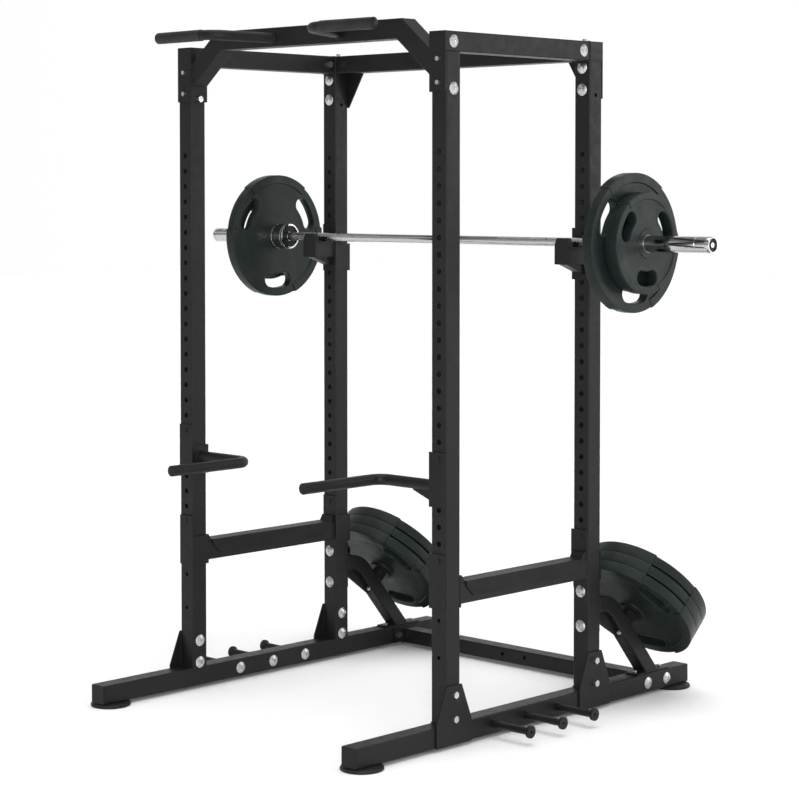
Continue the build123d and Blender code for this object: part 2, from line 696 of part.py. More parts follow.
# dip handles on the front uprights
DIP_TUBE_DROP = 84.0
DIP_REACH_X = 295.5
DIP_END_Y = -697.0
DIP_BRACKET_X = 560.0
for side, sign in SIDES:
    tube_z = DIP_PIN_Z - DIP_TUBE_DROP
    root_x = sign * (INNER - GAP - PLATE)
    with BuildPart() as dip:
        with BuildLine() as dip_path:
            FilletPolyline(
                (root_x, FRONT_Y, tube_z),
                (sign * DIP_REACH_X, FRONT_Y, tube_z),
                (sign * DIP_REACH_X, DIP_END_Y, tube_z),
                radius=42,
            )
        with BuildSketch(Plane(origin=dip_path.line @ 0, z_dir=dip_path.line % 0)):
            Circle(DIP_RADIUS)
            Circle(DIP_RADIUS - HANDLE_WALL, mode=Mode.SUBTRACT)
        sweep(path=dip_path.line)
        hanging_bracket(sign, FRONT_Y, DIP_PIN_Z, DIP_BRACKET_X)
        # gusset under the handle's root
        with BuildSketch(facing_front(FRONT_Y + PLATE / 2)):
            with BuildLine():
                Polyline(
                    (root_x, tube_z - 56),
                    (root_x, tube_z - 8),
                    (root_x - sign * 96, tube_z - 8),
                    (root_x - sign * 96, tube_z - 20),
                    close=True,
                )
            make_face()
        extrude(amount=PLATE)
    finish(dip, f"dip_handle_{side}")

    with BuildPart() as dip_cap:
        with BuildSketch(Plane(origin=(sign * DIP_REACH_X, DIP_END_Y, tube_z), z_dir=(0, -1, 0))):
            Circle(DIP_RADIUS)
        extrude(amount=CAP_THICKNESS)
        fillet(dip_cap.edges().group_by(Axis.Y)[0], 1.5)
        with BuildSketch(Plane(origin=(sign * DIP_REACH_X, DIP_END_Y, tube_z), z_dir=(0, 1, 0))):
            Circle(DIP_RADIUS - HANDLE_WALL - 0.1)
        extrude(amount=15)
    finish(dip_cap, f"dip_handle_cap_{side}")

# safety bars between the front and rear uprights
SAFETY_LOW = SAFETY_PIN_Z - 133
SAFETY_TUBE_TOP = SAFETY_PIN_Z - 72
SAFETY_LINER_LOW = SAFETY_PIN_Z - 113
SAFETY_LINER_TOP = SAFETY_PIN_Z - 66.5
WEDGE = 22.0
SKIRT_CUT = 32.0
for side, sign in SIDES:
    x = sign * HALF_WIDTH
    beam_from = FRONT_Y + TUBE / 2 + GAP + PLATE
    beam_to = REAR_FRONT_FACE - GAP - PLATE
    height = SAFETY_TUBE_TOP - SAFETY_LOW
    with BuildPart() as safety:
        with BuildSketch(facing_front(beam_to)):
            with Locations((x, (SAFETY_LOW + SAFETY_TUBE_TOP) / 2)):
                tube_section(54, height)
        extrude(amount=beam_to - beam_from)
        # a wedge on top of each end of the beam, welded to the bracket
        for edge, way in ((beam_from, 1), (beam_to, -1)):
            with BuildSketch(across(x - 25)):
                with BuildLine():
                    Polyline(
                        (edge, SAFETY_TUBE_TOP),
                        (edge, SAFETY_PIN_Z - SLEEVE_TOP),
                        (edge + way * 8, SAFETY_PIN_Z - SLEEVE_TOP),
                        (edge + way * WEDGE, SAFETY_TUBE_TOP),
                        close=True,
                    )
                make_face()
            extrude(amount=50)
        hanging_bracket(sign, FRONT_Y, SAFETY_PIN_Z)
        hanging_bracket(sign, REAR_Y, SAFETY_PIN_Z)
    finish(safety, f"safety_bar_{side}")

    with BuildPart() as safety_liner:
        liner_from, liner_to = beam_from + WEDGE + 1, beam_to - WEDGE - 1
        block((x - 30.5, x + 30.5), (liner_from, liner_to), (SAFETY_LINER_LOW, SAFETY_LINER_TOP))
        fillet(safety_liner.edges().filter_by(Axis.Y).group_by(Axis.Z)[-1], 4)
        block((x - 27, x + 27), (liner_from, liner_to), (SAFETY_LINER_LOW, SAFETY_TUBE_TOP), Mode.SUBTRACT)
        # the skirts are cut back at a slant at both ends
        for edge, way in ((liner_from, 1), (liner_to, -1)):
            with BuildSketch(across(x - 40)):
                with BuildLine():
                    Polyline(
                        (edge, SAFETY_LINER_LOW),
                        (edge, SAFETY_LINER_LOW + SKIRT_CUT),
                        (edge + way * SKIRT_CUT, SAFETY_LINER_LOW),
                        close=True,
                    )
                make_face()
            extrude(amount=80, mode=Mode.SUBTRACT)
    finish(safety_liner, f"safety_liner_{side}")

# ---------------------------------------------------------------- fasteners and band pegs
HEAD_RADIUS = 19.0
HEAD_HEIGHT = 7.5
SHANK_RADIUS = 6.0
NUT_RADIUS = 10.8
NUT_HEIGHT = 10.0
SOCKET_RADIUS = 4.6


def dome_bolt(head, direction, length):
    """Add a domed bolt whose head stands on a point and whose shank runs along a direction."""
    seat = Plane(origin=head, z_dir=direction)
    with BuildSketch(Plane(origin=head, x_dir=seat.x_dir, z_dir=seat.x_dir.cross(seat.z_dir))) as half:
        with BuildLine():
            ThreePointArc((0, -HEAD_HEIGHT), (HEAD_RADIUS * 0.62, -HEAD_HEIGHT * 0.74), (HEAD_RADIUS, -1.6))
            Line((HEAD_RADIUS, -1.6), (HEAD_RADIUS, 0))
            Polyline((HEAD_RADIUS, 0), (SHANK_RADIUS, 0), (SHANK_RADIUS, length), (0, length), (0, -HEAD_HEIGHT))
        make_face()
    revolve(half.sketch, axis=Axis(head, direction))
    with BuildSketch(seat.offset(-HEAD_HEIGHT)) as socket:
        RegularPolygon(SOCKET_RADIUS, 6)
    extrude(socket.sketch, amount=HEAD_HEIGHT - 2, mode=Mode.SUBTRACT)


def hex_nut(seat_point, direction, radius=NUT_RADIUS, height=NUT_HEIGHT, hole=SHANK_RADIUS):
    """Add a hex nut that stands on a point and rises along a direction."""
    with BuildSketch(Plane(origin=seat_point, z_dir=direction)) as hexagon:
        RegularPolygon(radius, 6)
        Circle(hole, mode=Mode.SUBTRACT)
    extrude(hexagon.sketch, amount=height)


bolts = []
for side, sign in SIDES:
    inward = (-sign, 0, 0)
    outward = (sign, 0, 0)
    backward = (0, 1, 0)
    x = sign * HALF_WIDTH
    for z in (TOP_SIDE_BOLT_Z, BEAM_BOLT_Z):
        bolts.append(((sign * OUTER, FRONT_Y, z), inward, TUBE + PLATE))
    bolts.append(((sign * OUTER, SIDE_BEAM_BOLT_Y, BEAM_BOLT_Z), inward, TUBE))
    for z in STRUT_BOLT_Z + TOP_FACE_BOLT_Z:
        bolts.append(((x, REAR_FRONT_FACE, z), backward, TUBE + PLATE))
    for end, y in ENDS:
        for z in BASE_BOLT_Z:
            bolts.append(((sign * INNER, y, z), outward, TUBE + PLATE))
    for y in (CROSS_Y - CROSS_BOLT_SPREAD, CROSS_Y + CROSS_BOLT_SPREAD):
        bolts.append(((sign * OUTER, y, RAIL_Z), inward, TUBE + PLATE))
    for n in (-1, 0, 1):
        bolts.append(((sign * INNER, CAGE_MIDDLE + n * PEG_PITCH, RAIL_Z), outward, TUBE))

with BuildPart() as dome_bolts:
    for head, direction, length in bolts:
        dome_bolt(head, direction, length + NUT_HEIGHT)
finish(dome_bolts, "dome_bolts")

with BuildPart() as nuts:
    for head, direction, length in bolts:
        at_peg = head[2] == RAIL_Z and abs(head[0]) == INNER
        if not at_peg:
            hex_nut(Vector(*head) + Vector(*direction) * length, direction)
finish(nuts, "hex_nuts")

# small hex screws: pull-up brackets, storage feet, and either side of the web under each horn
HORN_SCREW_ALONG = 115.0
HORN_SCREW_X = 13.0
SCREW_HEAD = 7.5
with BuildPart() as screws:
    for side, sign in SIDES:
        x = sign * HALF_WIDTH
        for z in TOP_FACE_BOLT_Z:
            hex_nut((x, FRONT_FACE - PLATE, z), (0, -1, 0), SCREW_HEAD, 6, 0.5)
        hex_nut((x - sign * 15, REAR_Y, TOP), (0, 0, 1), SCREW_HEAD, 10, 0.5)
        for y in (CROSS_Y - 80, CROSS_Y + 50):
            hex_nut((x, y, FOOT_PLATE_TOP), (0, 0, 1), SCREW_HEAD, 6, 0.5)
        for across_web in (-HORN_SCREW_X, HORN_SCREW_X):
            seat = strut_back - out * STRUT_DEPTH + down * HORN_SCREW_ALONG
            hex_nut(seat + Vector(x + across_web, 0, 0), -out, SCREW_HEAD, 8, 0.5)
finish(screws, "small_screws")


def tube_plug(place, direction, radius, hollow, rise):
    """Add a plug with a domed head that closes the end of a round tube."""
    seat = Plane(origin=place, z_dir=direction)
    with BuildSketch(Plane(origin=place, x_dir=seat.x_dir, z_dir=seat.x_dir.cross(seat.z_dir))) as half:
        with BuildLine():
            Polyline((0, -15), (hollow - 0.1, -15), (hollow - 0.1, 0), (radius, 0), (radius, 1))
            ThreePointArc((radius, 1), (radius * 0.7, 0.2 + rise * 0.72), (radius * 0.2, rise))
            Polyline((radius * 0.2, rise), (0, rise), (0, -15))
        make_face()
    revolve(half.sketch, axis=Axis(place, direction))


# plastic plugs in the open ends of the pull-up grips and the storage horns
with BuildPart() as tube_caps:
    for side, sign in SIDES:
        end_of_grip = Vector(sign * HANDLE_END_X, HANDLE_END_Y, HANDLE_Z)
        outward = end_of_grip - Vector(sign * HANDLE_BEND_X, HANDLE_BEND_Y, HANDLE_Z)
        end_of_horn = horn_root + Vector(sign * HALF_WIDTH, 0, 0) + horn_way * HORN_LENGTH
        tube_plug(end_of_grip, outward, GRIP_RADIUS, HANDLE_RADIUS - HANDLE_WALL, GRIP_DOME)
        tube_plug(end_of_horn, horn_way, HORN_RADIUS, HORN_RADIUS - HORN_WALL, CAP_THICKNESS)
finish(tube_caps, "tube_end_caps")

PEG_RADIUS = 11.0
PEG_LENGTH = 150.0
PEG_HEAD_RADIUS = 19.0
PEG_HEAD = 8.0
PEG_FLARE = 14.0
PEG_HOLE = 4.0
with BuildPart() as pegs:
    for side, sign in SIDES:
        for n in (-1, 0, 1):
            start = (sign * OUTER, CAGE_MIDDLE + n * PEG_PITCH, RAIL_Z)
            with BuildSketch(Plane(origin=start, x_dir=(sign, 0, 0), z_dir=(0, -1, 0))):
                with BuildLine():
                    Polyline(
                        (NUT_HEIGHT + 1, 0),
                        (NUT_HEIGHT + 1, SHANK_RADIUS),
                        (0, SHANK_RADIUS),
                        (0, PEG_RADIUS),
                        (PEG_LENGTH - PEG_HEAD - PEG_FLARE, PEG_RADIUS),
                        (PEG_LENGTH - PEG_HEAD - PEG_FLARE / 2, PEG_RADIUS + 2),
                        (PEG_LENGTH - PEG_HEAD, PEG_HEAD_RADIUS),
                        (PEG_LENGTH, PEG_HEAD_RADIUS),
                        (PEG_LENGTH, PEG_HOLE),
                        (PEG_LENGTH - PEG_HEAD - PEG_FLARE, PEG_HOLE),
                        (PEG_LENGTH - PEG_HEAD - PEG_FLARE, 0),
                        close=True,
                    )
                make_face()
            revolve(axis=Axis(start, (sign, 0, 0)))
finish(pegs, "band_pegs")
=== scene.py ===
import math

import bmesh
import bpy
from mathutils import Matrix, Vector


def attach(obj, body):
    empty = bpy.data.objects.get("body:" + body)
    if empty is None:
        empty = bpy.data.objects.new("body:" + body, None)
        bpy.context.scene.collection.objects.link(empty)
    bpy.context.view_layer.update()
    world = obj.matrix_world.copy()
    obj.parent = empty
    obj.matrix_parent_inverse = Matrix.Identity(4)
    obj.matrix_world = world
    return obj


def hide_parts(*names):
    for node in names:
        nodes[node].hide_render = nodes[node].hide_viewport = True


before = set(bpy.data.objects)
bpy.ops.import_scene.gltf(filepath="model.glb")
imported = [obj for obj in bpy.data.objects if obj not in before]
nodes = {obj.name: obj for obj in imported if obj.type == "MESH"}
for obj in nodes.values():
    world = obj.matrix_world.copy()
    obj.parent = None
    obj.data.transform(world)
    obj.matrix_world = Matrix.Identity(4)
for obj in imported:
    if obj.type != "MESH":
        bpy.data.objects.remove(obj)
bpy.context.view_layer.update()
SIDES = (("left", -1), ("right", 1))
pi = math.pi

# main sizes of the CAD, in metres
UPRIGHT_X = 0.565  # centre of an upright
FRONT_Y, REAR_Y = -0.376, 0.283
HALF_TUBE = 0.030
BAR_Y, BAR_Z = 0.208, 1.481
LARGE_THICK, SMALL_THICK = 0.038, 0.046
RAIL_WELD_Z = 0.0725  # weld between an upright and its base rail


# ------------------------------------------------------------------ materials
class Shade:
    """A small helper that builds one procedural material."""

    def __init__(self, name, colour, metallic, roughness, **more):
        self.m = bpy.data.materials.new(name)
        self.m.use_nodes = True
        self.t = self.m.node_tree
        self.b = self.t.nodes["Principled BSDF"]
        self.b.inputs["Base Color"].default_value = (*colour, 1)
        self.b.inputs["Metallic"].default_value = metallic
        self.b.inputs["Roughness"].default_value = roughness
        for key, value in more.items():
            self.b.inputs[key.replace("_", " ")].default_value = value
        self.where = self.t.nodes.new("ShaderNodeTexCoord").outputs["Object"]
        self.normal = None

    def node(self, kind, **values):
        n = self.t.nodes.new(kind)
        for key, value in values.items():
            setattr(n, key, value)
        return n

    def link(self, a, b):
        self.t.links.new(a, b)

    def maths(self, operation, a, b=None):
        n = self.node("ShaderNodeMath", operation=operation)
        for i, v in enumerate((a, b)):
            if v is None:
                continue
            if isinstance(v, (int, float)):
                n.inputs[i].default_value = v
            else:
                self.link(v, n.inputs[i])
        return n.outputs[0]

    def noise(self, scale, detail=2.0, rough=0.5, stretch=None):
        n = self.node("ShaderNodeTexNoise")
        n.inputs["Scale"].default_value = scale
        n.inputs["Detail"].default_value = detail
        n.inputs["Roughness"].default_value = rough
        if stretch:
            mapping = self.node("ShaderNodeMapping")
            mapping.inputs["Scale"].default_value = stretch
            self.link(self.where, mapping.inputs["Vector"])
            self.link(mapping.outputs[0], n.inputs["Vector"])
        else:
            self.link(self.where, n.inputs["Vector"])
        return n.outputs["Fac"]

    def spread(self, value, low, high, start=0.3, end=0.7):
        n = self.node("ShaderNodeMapRange")
        for key, v in (("From Min", start), ("From Max", end), ("To Min", low), ("To Max", high)):
            n.inputs[key].default_value = v
        self.link(value, n.inputs["Value"])
        return n.outputs["Result"]

    def colour(self, value, dark, light):
        n = self.node("ShaderNodeMix", data_type="RGBA")
        n.inputs["A"].default_value = (*dark, 1)
        n.inputs["B"].default_value = (*light, 1)
        self.link(value, n.inputs["Factor"])
        self.link(n.outputs["Result"], self.b.inputs["Base Color"])

    def rough(self, value):
        self.link(value, self.b.inputs["Roughness"])

    def bump(self, value, distance, strength=1.0):
        n = self.node("ShaderNodeBump")
        n.inputs["Strength"].default_value = strength
        n.inputs["Distance"].default_value = distance
        self.link(value, n.inputs["Height"])
        if self.normal:
            self.link(self.normal, n.inputs["Normal"])
        self.normal = n.outputs["Normal"]
        self.link(self.normal, self.b.inputs["Normal"])

    def axes(self):
        n = self.node("ShaderNodeSeparateXYZ")
        self.link(self.where, n.inputs[0])
        return n.outputs


def powder_coat():
    s = Shade("powder_coat", (0.0085, 0.0085, 0.0088), 0.0, 0.42, Specular_IOR_Level=0.2)
    cloud = s.noise(5.0, 4.0)
    s.colour(s.spread(cloud, 0, 1), (0.0072, 0.0072, 0.0075), (0.0100, 0.0100, 0.0103))
    s.rough(s.spread(s.noise(38.0, 3.0), 0.37, 0.5))
    s.bump(s.noise(900.0, 2.0), 0.00025, 0.5)
    s.bump(s.noise(130.0, 1.0), 0.0003, 0.12)
    return s.m


def weld_paint():
    s = Shade("painted_weld", (0.008, 0.008, 0.0083), 0.0, 0.4, Specular_IOR_Level=0.28)
    s.colour(s.spread(s.noise(160.0, 2.0), 0, 1), (0.006, 0.006, 0.0063), (0.012, 0.012, 0.0123))
    s.bump(s.noise(420.0, 3.0), 0.0006, 0.6)
    return s.m


def plate_rubber():
    s = Shade("plate_rubber", (0.0095, 0.0145, 0.0136), 0.0, 0.38, Specular_IOR_Level=0.19)
    s.colour(s.spread(s.noise(9.0, 5.0), 0, 1), (0.0080, 0.0125, 0.0117), (0.0110, 0.0166, 0.0156))
    s.rough(s.spread(s.noise(26.0, 4.0), 0.33, 0.45))
    s.bump(s.noise(650.0, 2.0), 0.00035, 0.45)
    s.bump(s.noise(60.0, 2.0), 0.0006, 0.08)
    return s.m


def soft_rubber(name, colour, grain):
    s = Shade(name, colour, 0.0, 0.5, Specular_IOR_Level=0.28)
    dark = tuple(c * 0.75 for c in colour)
    s.colour(s.spread(s.noise(22.0, 4.0), 0, 1), dark, tuple(c * 1.3 for c in colour))
    s.rough(s.spread(s.noise(45.0, 3.0), 0.40, 0.58))
    s.bump(s.noise(grain, 3.0), 0.0005, 0.55)
    return s.m


def plastic(name, colour, rough):
    s = Shade(name, colour, 0.0, rough, Specular_IOR_Level=0.16)
    dark, light = tuple(c * 0.8 for c in colour), tuple(c * 1.25 for c in colour)
    s.colour(s.spread(s.noise(14.0, 3.0), 0, 1), dark, light)
    s.rough(s.spread(s.noise(60.0, 3.0, stretch=(1, 0.1, 1)), rough - 0.06, rough + 0.08))
    s.bump(s.noise(1300.0, 1.0), 0.00015, 0.4)
    return s.m


def zinc():
    s = Shade("zinc_plating", (0.55, 0.55, 0.55), 1.0, 0.3)
    s.colour(s.spread(s.noise(70.0, 4.0), 0, 1), (0.46, 0.46, 0.465), (0.63, 0.63, 0.625))
    s.rough(s.spread(s.noise(210.0, 3.0), 0.24, 0.38))
    s.bump(s.noise(900.0, 2.0), 0.0002, 0.3)
    return s.m


def chrome():
    s = Shade("hard_chrome", (0.56, 0.56, 0.57), 1.0, 0.08)
    s.colour(s.spread(s.noise(16.0, 3.0), 0, 1), (0.51, 0.51, 0.52), (0.60, 0.60, 0.61))
    s.rough(s.spread(s.noise(55.0, 4.0, stretch=(0.12, 1, 1)), 0.06, 0.12))
    s.bump(s.noise(500.0, 2.0, stretch=(0.04, 1, 1)), 0.00003, 0.1)
    return s.m


def knurled_chrome():
    """Chrome with two diamond-knurled bands, each broken by a smooth ring mark, and a smooth middle."""
    s = Shade("knurled_chrome", (0.60, 0.60, 0.61), 1.0, 0.14)
    x, y, z = s.axes()
    reach = s.maths("ABSOLUTE", x)
    angle = s.maths("ARCTAN2", s.maths("SUBTRACT", z, BAR_Z), s.maths("SUBTRACT", y, BAR_Y))
    turn = s.maths("MULTIPLY", angle, 46)
    along = s.maths("MULTIPLY", x, 3300)
    one = s.maths("SINE", s.maths("ADD", turn, along))
    two = s.maths("SINE", s.maths("SUBTRACT", turn, along))
    diamond = s.maths("MINIMUM", s.maths("ABSOLUTE", one), s.maths("ABSOLUTE", two))
    inside = s.maths("GREATER_THAN", reach, 0.262)
    ending = s.maths("LESS_THAN", reach, 0.704)
    ring = s.maths("GREATER_THAN", s.maths("ABSOLUTE", s.maths("SUBTRACT", reach, 0.467)), 0.0035)
    band = s.maths("MULTIPLY", s.maths("MULTIPLY", inside, ending), ring)
    s.rough(s.maths("ADD", s.maths("MULTIPLY", band, 0.13), s.spread(s.noise(45.0, 3.0), 0.09, 0.16)))
    cut = s.maths("MULTIPLY", diamond, band)
    s.colour(s.maths("ADD", s.maths("MULTIPLY", cut, 0.45), 0.3), (0.47, 0.47, 0.48), (0.60, 0.60, 0.61))
    s.bump(cut, 0.0002, 0.3)
    return s.m


def turned_steel():
    s = Shade("turned_steel", (0.16, 0.16, 0.165), 1.0, 0.3)
    s.colour(s.spread(s.noise(120.0, 3.0), 0, 1), (0.12, 0.12, 0.125), (0.20, 0.20, 0.205))
    s.rough(s.spread(s.noise(300.0, 2.0), 0.24, 0.4))
    s.bump(s.noise(700.0, 2.0), 0.0002, 0.3)
    return s.m


def floor_paint():
    s = Shade("pale_floor", (0.94, 0.94, 0.94), 0.0, 0.6, Specular_IOR_Level=0.0)
    s.colour(s.spread(s.noise(0.6, 3.0), 0, 1), (0.935, 0.935, 0.935), (0.945, 0.945, 0.945))
    s.rough(s.spread(s.noise(3.0, 3.0), 0.52, 0.66))
    return s.m


COAT, WELD, PLATE = powder_coat(), weld_paint(), plate_rubber()
GRIP = soft_rubber("grip_rubber", (0.0105, 0.0105, 0.0105), 520.0)
FOOT = soft_rubber("foot_rubber", (0.009, 0.009, 0.009), 260.0)
LINER = plastic("liner_plastic", (0.0085, 0.0085, 0.0088), 0.44)
CAP = plastic("cap_plastic", (0.0085, 0.0085, 0.0088), 0.34)
ZINC, CHROME, KNURL, STEEL = zinc(), chrome(), knurled_chrome(), turned_steel()


BY_WORD = (
    ("liner", LINER), ("grip", GRIP), ("feet", FOOT), ("cap", CAP),
    ("bar_plate", PLATE), ("stored_plate", PLATE),
)


def dress(name):
    """The material of a CAD node, from its name."""
    if name in ("dome_bolts", "hex_nuts", "small_screws"):
        return ZINC
    if name == "barbell_shaft":
        return KNURL
    if name.startswith("barbell"):
        return CHROME
    for word, m in BY_WORD:
        if word in name:
            return m
    return COAT


FINE = ("dome_bolts", "hex_nuts", "small_screws", "tube_end_caps", "band_pegs")
for name, obj in nodes.items():
    obj.data.materials.clear()
    obj.data.materials.append(dress(name))
    obj.data.polygons.foreach_set("use_smooth", [True] * len(obj.data.polygons))
    bevel = obj.modifiers.new("soft_edges", "BEVEL")
    bevel.width = 0.0005 if name in FINE else 0.0011
    bevel.segments = 2
    bevel.limit_method = "ANGLE"
    bevel.angle_limit = math.radians(40)
    bevel.harden_normals = True
    bevel.miter_outer = "MITER_ARC"


# ------------------------------------------------------------------ building pieces
def piece(name, verts, faces, material, body, replaced=(), sharp=35, matrix=None):
    """A visible piece from vertices and faces, with edges over the sharp angle kept crisp."""
    mesh = bpy.data.meshes.new(name)
    mesh.from_pydata([tuple(v) for v in verts], [], faces)
    mesh.materials.append(material)
    mesh.validate()
    mesh.shade_smooth()
    mesh.set_sharp_from_angle(angle=math.radians(sharp))
    return place(name, mesh, body, replaced, matrix)


def place(name, mesh, body, replaced=(), matrix=None):
    """Put a mesh in the scene, riding on a body and standing for any nodes that it replaces."""
    obj = bpy.data.objects.new(name, mesh)
    bpy.context.collection.objects.link(obj)
    if matrix is not None:
        obj.matrix_world = matrix
    bpy.context.view_layer.update()
    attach(obj, body)
    if replaced:
        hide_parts(*replaced)
    return obj


def frame_at(origin, axis, right=None):
    """A 4x4 whose Z is the axis."""
    z = Vector(axis).normalized()
    x = Vector(right) if right else z.orthogonal()
    x = (x - z * x.dot(z)).normalized()
    m = Matrix((x, z.cross(x), z)).transposed().to_4x4()
    m.translation = Vector(origin)
    return m


def lathe(profile, origin, axis, turns=64):
    """Vertices and faces of a profile of (distance along, radius) turned about an axis."""
    m = frame_at(origin, axis)
    verts, faces, rings = [], [], []
    for along, radius in profile:
        if radius < 1e-6:
            rings.append([len(verts)])
            verts.append(m @ Vector((0, 0, along)))
        else:
            rings.append(list(range(len(verts), len(verts) + turns)))
            for i in range(turns):
                a = 2 * pi * i / turns
                verts.append(m @ Vector((radius * math.cos(a), radius * math.sin(a), along)))
    for a, b in zip(rings, rings[1:]):
        for i in range(turns):
            j = (i + 1) % turns
            if len(a) == 1:
                faces.append((a[0], b[j], b[i]))
            elif len(b) == 1:
                faces.append((a[i], a[j], b[0]))
            else:
                faces.append((a[i], a[j], b[j], b[i]))
    return verts, faces


def join(parts):
    """One list of vertices and one of faces, from several pairs."""
    verts, faces = [], []
    for v, f in parts:
        n = len(verts)
        verts += list(v)
        faces += [tuple(i + n for i in face) for face in f]
    return verts, faces


def cuboid(x, y, z):
    """Vertices and faces of a box; x, y and z are its ranges."""
    verts = [(a, b, c) for a in x for b in y for c in z]
    return verts, [(0, 1, 3, 2), (4, 6, 7, 5), (0, 4, 5, 1), (2, 3, 7, 6), (0, 2, 6, 4), (1, 5, 7, 3)]


# ------------------------------------------------------------------ weight plates
def kidney(x, y, middle, half_width, half_turn):
    """Signed distance from a grip opening centred on +X, negative inside."""
    angle, r = math.atan2(y, x), math.hypot(x, y)
    if abs(angle) <= half_turn:
        return abs(r - middle) - half_width
    a = math.copysign(half_turn, angle)
    return math.hypot(x - middle * math.cos(a), y - middle * math.sin(a)) - half_width


GRIP_TURNS = (-90, 30, 150)
RIM_TURN = 22.5


def ease(t):
    t = min(1.0, max(0.0, t))
    return t * t * (3 - 2 * t)


